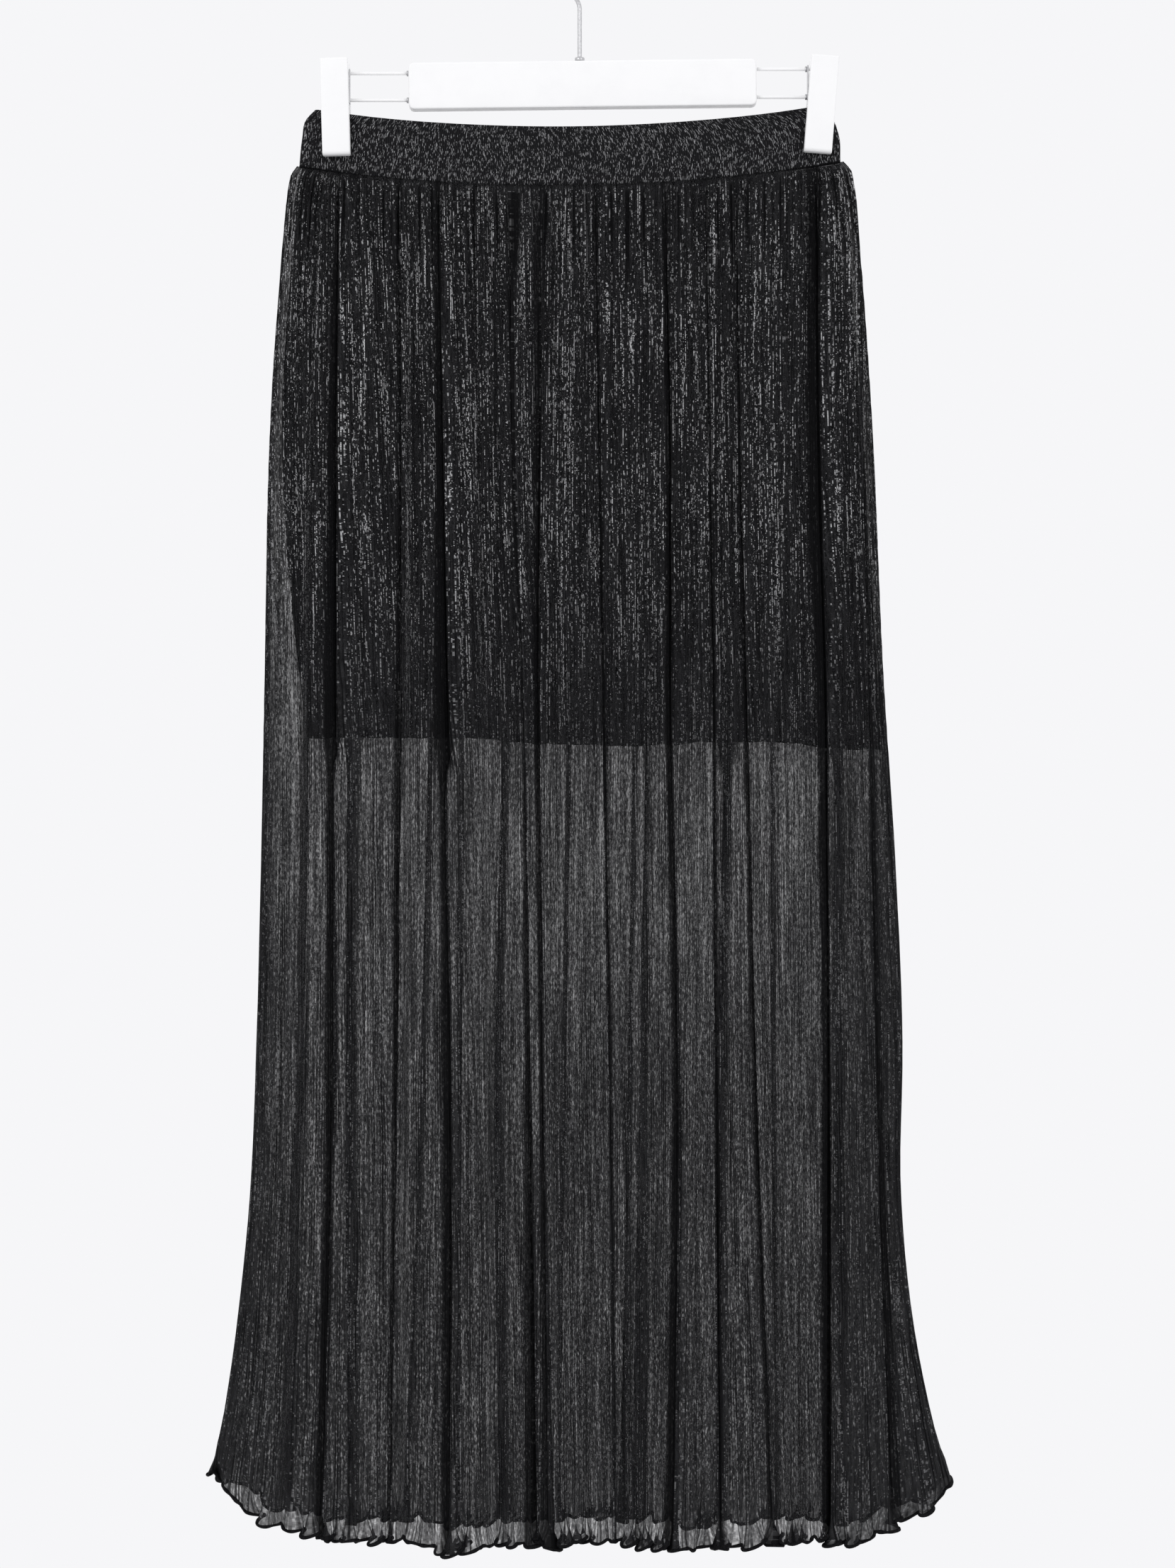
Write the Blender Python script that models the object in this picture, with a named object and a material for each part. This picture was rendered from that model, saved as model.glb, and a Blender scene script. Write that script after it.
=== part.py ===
"""A sheer pleated maxi skirt, hanging by its waistband from a clip hanger.

Every length below is in millimetres and becomes metres when a mesh is made. The origin is the
inner top of the hook, where a rail carries the hanger. +X is to the right seen from the front,
+Y is to the back and +Z is up. The cloth is a set of walls of real thickness round an empty
hollow: a front and a back of the skirt, a front and a back of the short lining, and a waistband
that runs all round.
"""

import math
from collections import namedtuple

import bmesh
import bpy
import numpy as np
from mathutils import Vector

MM = 0.001
GAP = 0.3  # room between two pieces that meet at a seam or a joint

# ---------------------------------------------------------------- hanger
BAR_SIZE = (227.0, 12.5, 30.5)
BAR_CORNER = 4.0
BAR_EDGE = 1.2
BAR_CENTRE_X = 1.9
BAR_TOP = -86.4
BAR_TILT = math.radians(0.7)  # the right end is the higher one

HOOK_WIRE = 2.8
HOOK_RADIUS = 22.0  # middle of the wire, round the rail
HOOK_NECK = 12.0  # reverse bend between stem and hook
HOOK_OVERRUN = math.radians(24)  # how far the tip passes the middle of the hook, downwards
COLLAR = {"outer": 6.4, "inner": 3.4, "length": 2.6}

WIRE = 2.3  # the U-shaped rods that carry the clips
WIRE_BEND = 3.2

JAW_WIDTH = 18.2
JAW_EDGE = 0.9
# side view of one jaw: distance from the middle plane, and height from the clip's centre
JAW_OUTLINE = [
    (2.9, -30.9),
    (2.9, -13.0),
    (5.0, -7.5),
    (5.0, 13.0),
    (8.2, 31.65),
    (12.2, 31.65),
    (11.4, -30.0),
    (9.8, -31.65),
    (3.6, -31.65),
]
SPRING = {"outer": 5.4, "inner": 3.4, "length": 11.0}

# one row for each side: the clip's centre and lean, and the heights and the far end of its rod
Clip = namedtuple("Clip", "side centre_x centre_z lean rod_top rod_bottom rod_end")
CLIPS = [
    Clip("left", -159.2, -118.7, math.radians(-1.55), -94.9, -112.4, -166.3),
    Clip("right", 157.5, -116.7, math.radians(4.5), -92.3, -110.3, 165.0),
]

# ---------------------------------------------------------------- waist
SIDE_LEFT_Z = -156.7  # height of the waist seam at the two side seams
SIDE_RIGHT_Z = -153.0
WAIST_SAG = 15.0  # the waist hangs lower between the clips
BAND_HEIGHT = 39.2
BAND_WALL = 2.2
BAND_PINCHED = 1.4  # half distance between the layers, wall middle, inside a clip
BAND_OPEN = 5.4  # further half distance midway between the clips
BAND_COLUMNS = 30
BAND_TURN_COLUMNS = 4
OPEN_REACH = 62.0  # how far from a clip the waist has fallen open
PINCH_INNER = (-146.0, 143.5)  # where the clips' hold ends towards the middle

# share of the band's height above the waist seam, left end, right end; its top corners are
# rounded, the right one more than the left one
BandRow = namedtuple("BandRow", "share left right")
BAND_ROWS = [
    BandRow(0.0, -182.2, 169.3),
    BandRow(0.5, -180.2, 167.9),
    BandRow(0.82, -177.6, 162.0),
    BandRow(1.0, -171.8, 153.0),
]

# ---------------------------------------------------------------- skirt
SIDE_LENGTH = 861.0  # waist seam to hem along a side seam
HEM_Z = -1047.0  # hem in the middle of the front and of the back
HEM_RISE = 31.0  # the hem is this much higher at the side seams
HEM_RISE_POWER = 8
PANEL_ROUNDNESS = 2.6  # exponent of the superellipse that a level section follows
PLEATS = 60  # in each of the two panels
COLUMNS_PER_PLEAT = 2
COLUMNS_PER_HEM_WAVE = 4
HEM_WAVE_DROP = 1.6  # the ruffled edge goes up and down by this
SKIRT_WALL = 1.4
HEM_ROLL = 3.0  # the overlocked edge is a roll as thick as this

# drop: below the waist seam, along the side; left, right: outline; depth: half depth;
# open: how much of the waist's gaping is left; pleat: ridge to valley; wave: ruffle, out and in
Section = namedtuple("Section", "drop left right depth open pleat wave wall")
SECTIONS = [
    Section(0.0, -185.6, 173.5, 5.2, 4.4, 0.6, 0.0, SKIRT_WALL),
    Section(4.0, -187.1, 175.3, 8.6, 4.4, 1.2, 0.0, SKIRT_WALL),
    Section(12.0, -188.2, 176.4, 12.0, 4.0, 1.8, 0.0, SKIRT_WALL),
    Section(45.0, -191.3, 179.7, 16.5, 2.5, 2.2, 0.0, SKIRT_WALL),
    Section(150.0, -198.7, 187.1, 24.0, 0.0, 2.2, 0.0, SKIRT_WALL),
    Section(330.0, -202.2, 196.4, 30.0, 0.0, 2.3, 0.0, SKIRT_WALL),
    Section(560.0, -207.8, 207.4, 37.0, 0.0, 2.4, 0.0, SKIRT_WALL),
    Section(660.0, -212.7, 206.7, 40.0, 0.0, 2.4, 0.0, SKIRT_WALL),
    Section(740.0, -219.4, 214.0, 43.0, 0.0, 2.5, 0.0, SKIRT_WALL),
    Section(820.0, -230.9, 229.5, 47.0, 0.0, 2.6, 0.8, SKIRT_WALL),
    Section(852.0, -237.9, 238.2, 49.0, 0.0, 2.8, 2.4, SKIRT_WALL),
    Section(857.0, -238.6, 239.2, 50.0, 0.0, 2.8, 3.0, HEM_ROLL),
    Section(SIDE_LENGTH, -238.2, 239.0, 50.0, 0.0, 2.8, 3.2, HEM_ROLL),
]

# the deep folds of the front: how far right at four heights, how deep as a share of the half
# depth of the skirt there, and how wide
Fold = namedtuple("Fold", "waist hip knee hem share width")
FOLDS = [
    Fold(-157.5, -163.9, -161.1, -168.5, 0.20, 6.5),
    Fold(-119.4, -116.7, -118.0, -122.0, 0.10, 5.0),
    Fold(-92.9, -88.8, -84.6, -85.1, 0.19, 6.5),
    Fold(-47.6, -44.4, -34.7, -36.6, 0.15, 7.0),
    Fold(11.5, 12.4, 17.5, 23.0, 0.11, 6.0),
    Fold(54.5, 57.3, 63.3, 61.4, 0.16, 6.5),
    Fold(99.9, 104.5, 111.8, 125.1, 0.12, 6.5),
    Fold(153.0, 155.8, 160.8, 159.0, 0.22, 7.5),
    Fold(190.0, 190.0, 196.0, 203.0, 0.07, 6.0),
]
FOLD_DROPS = (0.0, 200.0, 450.0, 861.0)  # where the four heights lie
FOLD_START = 70.0  # a fold is at full depth this far below the waist seam
FOLD_AT_SEAM = 0.25  # share of its depth at the seam
BACK_FOLD_SHIFT = 9.0  # the back has the same folds in mirror, moved by this

# ---------------------------------------------------------------- lining
LINING_WALL = 1.0
LINING_COLUMNS = 32
LINING_WAVES = 5
LINING_LENGTH = 377.0
LINING_TOP_GAP = 0.7  # it has fewer columns than the band above it, so a little more room
LiningRow = namedtuple("LiningRow", "drop left right depth open wave")
LINING_ROWS = [
    LiningRow(0.0, -181.2, 170.2, 1.7, 4.0, 0.0),
    LiningRow(12.0, -184.6, 173.0, 4.0, 4.0, 0.2),
    LiningRow(60.0, -188.2, 176.6, 7.6, 2.0, 0.5),
    LiningRow(170.0, -194.6, 184.0, 11.0, 0.0, 0.9),
    LiningRow(280.0, -191.5, 190.0, 12.5, 0.0, 1.2),
    LiningRow(LINING_LENGTH, -178.0, 195.6, 14.0, 0.0, 1.5),
]


# ================================================================ helpers
def clear_scene():
    for obj in list(bpy.data.objects):
        bpy.data.objects.remove(obj, do_unlink=True)


def material(name, colour, roughness, metallic=0.0):
    made = bpy.data.materials.new(name)
    made.use_nodes = True
    shader = made.node_tree.nodes["Principled BSDF"]
    shader.inputs["Base Color"].default_value = (*colour, 1.0)
    shader.inputs["Roughness"].default_value = roughness
    shader.inputs["Metallic"].default_value = metallic
    made.diffuse_color = (*colour, 1.0)
    return made


def place(name, data, finish, parent, smooth=True):
    """Links an object that holds this mesh or curve, under its parent."""
    obj = bpy.data.objects.new(name, data)
    obj.data.materials.append(finish)
    obj.parent = parent
    bpy.context.scene.collection.objects.link(obj)
    if smooth and obj.type == "MESH":
        data.shade_smooth()
        data.set_sharp_from_angle(angle=math.radians(50))
    return obj


def empty(name, parent=None, location=(0.0, 0.0, 0.0), turn=0.0):
    """An empty at a place given in millimetres, turned about Y."""
    made = bpy.data.objects.new(name, None)
    made.location = Vector(location) * MM
    made.rotation_euler = (0.0, turn, 0.0)
    made.parent = parent
    bpy.context.scene.collection.objects.link(made)
    return made


def mesh_of(name, points, faces):
    """A closed mesh, its faces turned outwards, from points in millimetres."""
    mesh = bpy.data.meshes.new(name)
    mesh.from_pydata((np.asarray(points, float) * MM).tolist(), [], faces)
    shape = bmesh.new()
    shape.from_mesh(mesh)
    bmesh.ops.recalc_face_normals(shape, faces=shape.faces)
    shape.to_mesh(mesh)
    shape.free()
    return mesh


def bevel(obj, width, segments, angle_degrees):
    made = obj.modifiers.new("rounded edges", "BEVEL")
    made.width = width * MM
    made.segments = segments
    made.limit_method = "ANGLE"
    made.angle_limit = math.radians(angle_degrees)


# ================================================================ cloth walls
def wall_mesh(name, outer, inner, loops_round):
    """Joins an outer and an inner grid of points, rows by columns, into one closed wall."""
    rows, columns = outer.shape[:2]
    index = np.arange(rows * columns).reshape(rows, columns)
    if loops_round:
        index = np.hstack([index, index[:, :1]])

    def quads(lower, upper):
        return np.stack([lower[:-1], lower[1:], upper[1:], upper[:-1]], axis=-1).reshape(-1, 4)

    shift = rows * columns
    faces = []
    for row in range(rows - 1):
        faces.append(quads(index[row + 1], index[row]))
        faces.append(quads(index[row], index[row + 1]) + shift)
    for edge in (index[0], index[-1][::-1]):
        faces.append(quads(edge, edge + shift))
    if not loops_round:
        for edge in (index[:, 0][::-1], index[:, -1]):
            faces.append(quads(edge, edge + shift))
    points = np.concatenate([outer.reshape(-1, 3), inner.reshape(-1, 3)])
    return mesh_of(name, points, np.concatenate(faces).tolist())


def level_normals(points, loops_round=False):
    """The direction out of the cloth at each point of each row, level with the floor."""
    if loops_round:
        along = np.roll(points, -1, axis=1) - np.roll(points, 1, axis=1)
    else:
        along = np.gradient(points, axis=1)
    out = np.stack([along[..., 1], -along[..., 0], np.zeros(along.shape[:2])], axis=-1)
    return out / np.linalg.norm(out, axis=-1, keepdims=True)


def half_section(share, flatness):
    """Half of a level section from its left end to its right end, at equal steps of length.

    The section is a superellipse of half width 1: across runs from -1 to 1, and out runs from
    0 at the ends to 1 in the middle, where the real depth is the flatness.
    """
    angle = np.linspace(0.0, math.pi, 4001)
    across = -np.sign(np.cos(angle)) * np.abs(np.cos(angle)) ** (2 / PANEL_ROUNDNESS)
    out = np.abs(np.sin(angle)) ** (2 / PANEL_ROUNDNESS)
    step = np.hypot(np.diff(across), flatness * np.diff(out))
    length = np.concatenate([[0.0], np.cumsum(step)])
    return (
        np.interp(share, length / length[-1], across),
        np.interp(share, length / length[-1], out),
    )


def gaping(x):
    """0 where the clips press the waist shut, rising smoothly to 1 between them."""
    inside = np.clip(np.minimum(x - PINCH_INNER[0], PINCH_INNER[1] - x), 0.0, None)
    return 1.0 - np.exp(-((inside / OPEN_REACH) ** 2))


def seam_height(across):
    """Height of the waist seam, from -1 at the left side to 1 at the right side."""
    chord = SIDE_LEFT_Z + (SIDE_RIGHT_Z - SIDE_LEFT_Z) * (across + 1) / 2
    return chord - WAIST_SAG * (1 - across**2)


def panel_rows(rows, share, hem_height, length, top_gap=GAP):
    """Smooth front panel without its pleats: one row of points for each row of the table."""
    made = []
    for row in rows:
        half_width = (row.right - row.left) / 2
        across, out = half_section(share, row.depth / half_width)
        x = (row.left + row.right) / 2 + across * half_width
        y = -(GAP / 2 + (row.depth + row.open * gaping(x)) * out)
        top = seam_height(across) - top_gap
        z = top + (hem_height(across) - top) * row.drop / length
        made.append(np.stack([x, y, z], axis=-1))
    return np.array(made)


def fold_relief(x, section, facing):
    """How far the deep folds push the wall in, as bell-shaped grooves that wander with height."""
    pushed = np.zeros_like(x)
    for fold in FOLDS:
        middle = np.interp(section.drop, FOLD_DROPS, fold[:4])
        if facing == "back":
            middle = BACK_FOLD_SHIFT - middle
        pushed -= fold.share * np.exp(-(((x - middle) / fold.width) ** 2))
    ramp = min(section.drop / FOLD_START, 1.0)
    return pushed * section.depth * (FOLD_AT_SEAM + (1 - FOLD_AT_SEAM) * ramp)


def facing_wall(name, base, relief, walls, facing):
    """Gives a panel its relief and its thickness, and turns the back panel to the back."""
    normal = level_normals(base)
    half = np.asarray(walls)[:, None, None] / 2
    outer = base + normal * (relief[..., None] + half)
    inner = base + normal * (relief[..., None] - half)
    for grid in (outer, inner):
        grid[:, [0, -1], 1] = -GAP / 2
        if facing == "back":
            grid[..., 1] *= -1
    return wall_mesh(name, outer, inner, loops_round=False)


def skirt_panel(facing, finish, parent):
    """Front or back of the skirt: pleats, deep folds, and a ruffled edge that ends in a roll."""
    columns = PLEATS * COLUMNS_PER_PLEAT
    step = np.arange(columns + 1)
    base = panel_rows(
        SECTIONS,
        step / columns,
        lambda across: HEM_Z + HEM_RISE * np.abs(across) ** HEM_RISE_POWER,
        SIDE_LENGTH,
    )
    ridge = np.where(step % COLUMNS_PER_PLEAT == 0, 0.5, -0.5)
    turn = 2 * math.pi * step / COLUMNS_PER_HEM_WAVE
    relief = np.zeros(base.shape[:2])
    for row, section in enumerate(SECTIONS):
        relief[row] = section.pleat * ridge + section.wave * np.sin(turn)
        relief[row] += fold_relief(base[row, :, 0], section, facing)
        base[row, :, 2] += HEM_WAVE_DROP * section.wave / SECTIONS[-1].wave * np.cos(turn)
    walls = [section.wall for section in SECTIONS]
    name = f"skirt_{facing}"
    mesh = facing_wall(name, base, relief, walls, facing)
    return place(name, mesh, finish, parent, smooth=False)


def lining_panel(facing, finish, parent):
    """Front or back of the short opaque lining, which hangs in a few shallow waves."""
    share = np.linspace(0.0, 1.0, LINING_COLUMNS + 1)
    hem_z = (SIDE_LEFT_Z + SIDE_RIGHT_Z) / 2 - LINING_LENGTH
    base = panel_rows(
        LINING_ROWS,
        share,
        lambda across: np.full_like(across, hem_z),
        LINING_LENGTH,
        LINING_TOP_GAP,
    )
    waves = np.sin(2 * math.pi * LINING_WAVES * share) * np.sin(math.pi * share)
    relief = np.array([row.wave * waves for row in LINING_ROWS])
    name = f"lining_{facing}"
    mesh = facing_wall(name, base, relief, [LINING_WALL] * len(LINING_ROWS), facing)
    return place(name, mesh, finish, parent)


def waistband(finish, parent):
    """The elastic band: one loop, pressed flat by the clips and gaping between them."""
    rows = []
    middle = (BAND_ROWS[0].left + BAND_ROWS[0].right) / 2
    half = (BAND_ROWS[0].right - BAND_ROWS[0].left) / 2
    for row in BAND_ROWS:
        left, right = row.left + BAND_PINCHED, row.right - BAND_PINCHED
        x = np.linspace(left, right, BAND_COLUMNS + 1)
        depth = BAND_PINCHED + BAND_OPEN * gaping(x)
        turn = np.linspace(0, math.pi, BAND_TURN_COLUMNS + 1)[1:-1]
        right_end = np.stack([right + np.sin(turn) * BAND_PINCHED, -np.cos(turn) * BAND_PINCHED])
        left_end = np.stack([left - np.sin(turn) * BAND_PINCHED, np.cos(turn) * BAND_PINCHED])
        front = np.stack([x, -depth])
        back = np.stack([x[::-1], depth[::-1]])
        plan = np.hstack([front, right_end, back, left_end])
        height = seam_height((plan[0] - middle) / half) + BAND_HEIGHT * row.share
        rows.append(np.vstack([plan, height]).T)
    base = np.array(rows[::-1])
    offset = level_normals(base, loops_round=True) * BAND_WALL / 2
    mesh = wall_mesh("waistband", base + offset, base - offset, loops_round=True)
    return place("waistband", mesh, finish, parent)


# ================================================================ hanger
def arc(centre, radius, start, end, count):
    """Points of an arc in the XZ plane; the angles run from +X towards +Z."""
    angle = np.linspace(start, end, count)
    across = centre[0] + radius * np.cos(angle)
    up = centre[1] + radius * np.sin(angle)
    return [(a, 0.0, b) for a, b in zip(across, up)]


def rod(name, points, thickness, finish, parent):
    """A round rod along points in millimetres, with flat closed ends."""
    curve = bpy.data.curves.new(name, "CURVE")
    curve.dimensions = "3D"
    curve.bevel_depth = thickness / 2 * MM
    curve.bevel_resolution = 2
    curve.use_fill_caps = True
    spline = curve.splines.new("POLY")
    spline.points.add(len(points) - 1)
    for point, place_mm in zip(spline.points, points):
        point.co = (*(Vector(place_mm) * MM), 1.0)
        point.radius = 1.0
    return place(name, curve, finish, parent)


def pipe(name, size, middle, turned_to_x, finish, parent, sides=14):
    """A short straight tube, such as a collar or the outer shape of a wound spring."""
    angle = 2 * math.pi * np.arange(sides) / sides
    rings = []
    for radius in (size["outer"] / 2, size["inner"] / 2):
        for end in (-size["length"] / 2, size["length"] / 2):
            ring = np.stack([radius * np.cos(angle), radius * np.sin(angle)], axis=1)
            rings.append(np.column_stack([ring, np.full(sides, end)]))
    outer, inner = np.array(rings[:2]), np.array(rings[2:])
    if turned_to_x:
        outer, inner = outer[..., [2, 0, 1]], inner[..., [2, 0, 1]]
    middle = np.asarray(middle)
    mesh = wall_mesh(name, outer + middle, inner + middle, loops_round=True)
    return place(name, mesh, finish, parent)


def hanger_bar(finish, parent):
    """A flat bar with rounded corners: an outline in XZ, given its depth along Y."""
    length, depth, height = BAR_SIZE
    outline = []
    for quarter, (side, up) in enumerate([(1, 1), (-1, 1), (-1, -1), (1, -1)]):
        centre = (side * (length / 2 - BAR_CORNER), up * (height / 2 - BAR_CORNER))
        start = quarter * math.pi / 2
        outline += arc(centre, BAR_CORNER, start, start + math.pi / 2, 4)
    outline = np.array(outline)
    count = len(outline)
    points = np.concatenate([outline + [0, -depth / 2, 0], outline + [0, depth / 2, 0]])
    faces = [list(range(count)), list(range(2 * count - 1, count - 1, -1))]
    for i in range(count):
        following = (i + 1) % count
        faces.append([i, i + count, following + count, following])
    bar = place("hanger_bar", mesh_of("hanger_bar", points, faces), finish, parent)
    bevel(bar, BAR_EDGE, 2, 60)
    return bar


def hook(finish, parent):
    """Stem, reverse bend and hook in one wire; the rail sits in the top of the hook."""
    middle_z = HOOK_WIRE / 2 - HOOK_RADIUS
    reach = HOOK_NECK + HOOK_RADIUS
    lean = math.acos(HOOK_NECK / reach)
    neck_z = middle_z - reach * math.sin(lean)
    points = [(0.0, 0.0, BAR_TOP + GAP), (0.0, 0.0, (BAR_TOP + neck_z) / 2)]
    points += arc((-HOOK_NECK, neck_z), HOOK_NECK, 0.0, lean, 6)
    points += arc((0.0, middle_z), HOOK_RADIUS, math.pi + lean, -HOOK_OVERRUN, 27)[1:]
    return rod("hook", points, HOOK_WIRE, finish, parent)


def clip_rod(clip, finish, parent):
    """The U-shaped rod that runs from one end of the bar into a clip and back."""
    side = 1 if clip.rod_end > 0 else -1
    start = BAR_CENTRE_X + side * (BAR_SIZE[0] / 2 + GAP)
    turn = clip.rod_end - side * WIRE_BEND
    upper = arc((turn, clip.rod_top - WIRE_BEND), WIRE_BEND, math.pi / 2, 0.0, 4)
    lower = arc((turn, clip.rod_bottom + WIRE_BEND), WIRE_BEND, 0.0, -math.pi / 2, 4)
    if side < 0:
        upper = [(2 * turn - x, y, z) for x, y, z in upper]
        lower = [(2 * turn - x, y, z) for x, y, z in lower]
    points = [(start, 0.0, clip.rod_top), *upper, *lower, (start, 0.0, clip.rod_bottom)]
    return rod(f"rod_{clip.side}", points, WIRE, finish, parent)


def jaw(clip, facing, finish, parent):
    """One half of a clip: its side outline, given its width, with softened edges."""
    out = -1 if facing == "front" else 1
    half = JAW_WIDTH / 2
    count = len(JAW_OUTLINE)
    points = [(x, out * y, z) for x in (-half, half) for y, z in JAW_OUTLINE]
    faces = [list(range(count)), list(range(2 * count - 1, count - 1, -1))]
    for i in range(count):
        following = (i + 1) % count
        faces.append([i, i + count, following + count, following])
    name = f"jaw_{facing}_{clip.side}"
    made = place(name, mesh_of(name, points, faces), finish, parent)
    bevel(made, JAW_EDGE, 1, 60)
    return made


def hanger(lacquer, metal, parent):
    turned = empty("bar place", parent, (BAR_CENTRE_X, 0, BAR_TOP - BAR_SIZE[2] / 2), -BAR_TILT)
    hanger_bar(lacquer, turned)
    hook(metal, parent)
    collar_z = BAR_TOP + GAP + COLLAR["length"] / 2
    pipe("hook_collar", COLLAR, (0.0, 0.0, collar_z), False, metal, parent)
    for clip in CLIPS:
        clip_rod(clip, lacquer, parent)
        towards_bar = -1 if clip.centre_x > 0 else 1
        spring_x = clip.rod_end + towards_bar * (WIRE_BEND + SPRING["length"] / 2 + GAP)
        spring_place = (spring_x, 0.0, clip.rod_bottom)
        pipe(f"spring_{clip.side}", SPRING, spring_place, True, metal, parent)
        held = empty(f"clip place {clip.side}", parent, (clip.centre_x, 0, clip.centre_z), clip.lean)
        for facing in ("front", "back"):
            jaw(clip, facing, lacquer, held)


# ================================================================ build
def build():
    clear_scene()
    knit = material("sheer black pleated knit", (0.012, 0.012, 0.014), 0.6)
    band_knit = material("black sparkling rib knit", (0.012, 0.012, 0.014), 0.55)
    jersey = material("black lining jersey", (0.006, 0.006, 0.007), 0.85)
    lacquer = material("white lacquer", (0.88, 0.88, 0.88), 0.35)
    metal = material("bright steel", (0.62, 0.62, 0.63), 0.3, 1.0)

    root = empty("skirt on its hanger")
    hanger(lacquer, metal, root)
    waistband(band_knit, root)
    for facing in ("front", "back"):
        skirt_panel(facing, knit, root)
        lining_panel(facing, jersey, root)
    bpy.context.view_layer.update()


build()
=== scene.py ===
# %% [markdown]
# # A sheer pleated skirt on its clip hanger
# The solid model gives the places and the sizes, and this lesson puts real cloth on it. Each
# visible piece is a surface worked out with numpy as a function of two parameters, and each
# finish is a small network of nodes. Lengths are in millimetres until a mesh is made.
# +X is to the right, +Y to the back, +Z up, and the origin is the hook's inner top.

# %% The frame
import math

import bpy
import numpy as np
from numpy.linalg import norm
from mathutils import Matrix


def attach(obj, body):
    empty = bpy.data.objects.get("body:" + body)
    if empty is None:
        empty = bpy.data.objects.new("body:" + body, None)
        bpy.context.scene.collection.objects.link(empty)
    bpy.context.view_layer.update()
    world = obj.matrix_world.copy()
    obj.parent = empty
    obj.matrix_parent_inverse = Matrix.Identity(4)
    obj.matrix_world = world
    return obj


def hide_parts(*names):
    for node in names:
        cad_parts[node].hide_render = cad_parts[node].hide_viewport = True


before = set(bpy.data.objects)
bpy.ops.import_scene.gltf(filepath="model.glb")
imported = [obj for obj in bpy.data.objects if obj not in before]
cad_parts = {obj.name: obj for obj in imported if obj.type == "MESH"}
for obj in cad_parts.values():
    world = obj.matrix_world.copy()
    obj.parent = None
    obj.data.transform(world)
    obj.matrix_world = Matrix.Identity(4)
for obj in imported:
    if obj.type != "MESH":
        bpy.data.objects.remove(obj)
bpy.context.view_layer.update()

# %% [markdown]
# ## From a grid of points to a mesh
# Every piece is a grid: rows by columns of points, open, or closed round its columns, its rows or
# both, as a sleeve or a ring is. Its UV map holds true lengths or pleat counts, so that a pattern
# follows the cloth and keeps its scale.

# %% Grids and meshes
MM = 0.001


def cell_corners(grid):
    """The four corners of every cell, in the order of a face that points out of the cloth."""
    return np.stack([grid[:-1, :-1], grid[1:, :-1], grid[1:, 1:], grid[:-1, 1:]], axis=2)


def grid_piece(
    name, points, uv=None, closed_across=False, closed_down=False, values=None, filled=False
):
    """A mesh from points[row, column], facing the side from which the rows run down while the
    columns run to the right. Filled closes a tube's first and last row with a flat face each."""
    rows, columns = points.shape[:2]
    index = np.arange(rows * columns).reshape(rows, columns)
    index = np.pad(index, ((0, int(closed_down)), (0, int(closed_across))), "wrap")
    faces = cell_corners(index).reshape(-1, 4).tolist()
    if filled:
        faces += [index[0, :columns].tolist(), index[-1, columns - 1 :: -1].tolist()]
    mesh = bpy.data.meshes.new(name)
    mesh.from_pydata((points.reshape(-1, 3) * MM).tolist(), [], faces)
    if uv is not None:
        corner = cell_corners(uv).reshape(-1, 2)
        if filled:
            corner = np.concatenate([corner, uv[0, :columns], uv[-1, columns - 1 :: -1]])
        layer = mesh.uv_layers.new(name="cloth")
        layer.data.foreach_set("uv", corner.astype(np.float32).ravel())
    for key, field in (values or {}).items():
        layer = mesh.attributes.new(key, "FLOAT", "POINT")
        layer.data.foreach_set("value", field.astype(np.float32).ravel())
    mesh.shade_smooth()
    made = bpy.data.objects.new(name, mesh)
    bpy.context.scene.collection.objects.link(made)
    print(f"{name}: {sum(len(face) - 2 for face in faces)} triangles")
    return made


def eased(at, stops, values):
    """A cubic through the stops whose slope at each one is that of its neighbours."""
    stops, values = np.asarray(stops, float), np.asarray(values, float)
    slope = np.gradient(values, stops)
    cell = np.clip(np.searchsorted(stops, at, side="right") - 1, 0, len(stops) - 2)
    wide = stops[cell + 1] - stops[cell]
    t = np.clip((at - stops[cell]) / wide, 0, 1)
    return (
        values[cell] * (1 + 2 * t) * (1 - t) ** 2
        + values[cell + 1] * t**2 * (3 - 2 * t)
        + wide * (slope[cell] * t * (1 - t) ** 2 - slope[cell + 1] * t**2 * (1 - t))
    )


def ramp(value, start, end):
    """0 before start, 1 after end, and a smooth S between them."""
    t = np.clip((value - start) / (end - start), 0, 1)
    return t * t * (3 - 2 * t)


def running(steps):
    """Sum of the steps up to each point, from 0 at the first point."""
    return np.concatenate([[0], np.cumsum(steps)])


def level_normal(points, closed=False):
    """Out of the cloth and level with the floor: along the row, turned by a quarter."""
    if closed:
        along = np.roll(points, -1, axis=1) - np.roll(points, 1, axis=1)
    else:
        along = np.gradient(points, axis=1)
    out = np.dstack([along[..., 1], -along[..., 0], 0 * along[..., 0]])
    return out / np.maximum(norm(out, axis=-1, keepdims=True), 1e-9)


def rightwards(out):
    """Along the cloth to its right and level with the floor: out, turned by a quarter."""
    return np.dstack([-out[..., 1], out[..., 0], 0 * out[..., 0]])
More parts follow.
